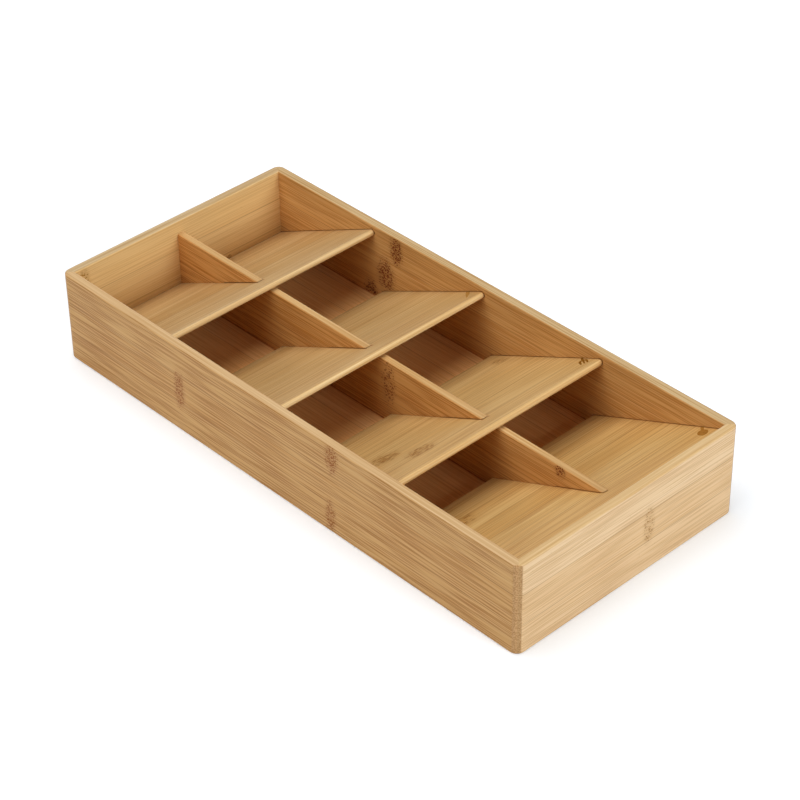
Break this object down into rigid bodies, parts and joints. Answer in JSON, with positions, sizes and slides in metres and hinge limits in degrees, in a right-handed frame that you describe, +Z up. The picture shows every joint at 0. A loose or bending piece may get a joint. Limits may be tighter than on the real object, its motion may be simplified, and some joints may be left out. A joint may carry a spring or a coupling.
{
  "type": "cutlery tray",
  "caption": "Bamboo drawer tray with mitred walls, a floor panel, a lengthwise divider and sloping ramps that form stepped bays for cutlery.",
  "frame": {"origin": "on the table under the middle of the tray", "axes": "+Z up, +Y along the tray towards the back wall, where the rear ramp has its foot, +X to the right seen from the front wall"},
  "size_m": [0.1814, 0.398, 0.0637],
  "materials": {
    "bamboo": "sanded bamboo with a thin satin lacquer"
  },
  "bodies": {
    "root": {"left_wall": "bamboo", "right_wall": "bamboo", "front_wall": "bamboo", "back_wall": "bamboo", "base_panel": "bamboo", "centre_divider": "bamboo", "rear_ramp": "bamboo", "second_ramp": "bamboo", "third_ramp": "bamboo", "front_ramp": "bamboo"}
  },
  "joints": []
}
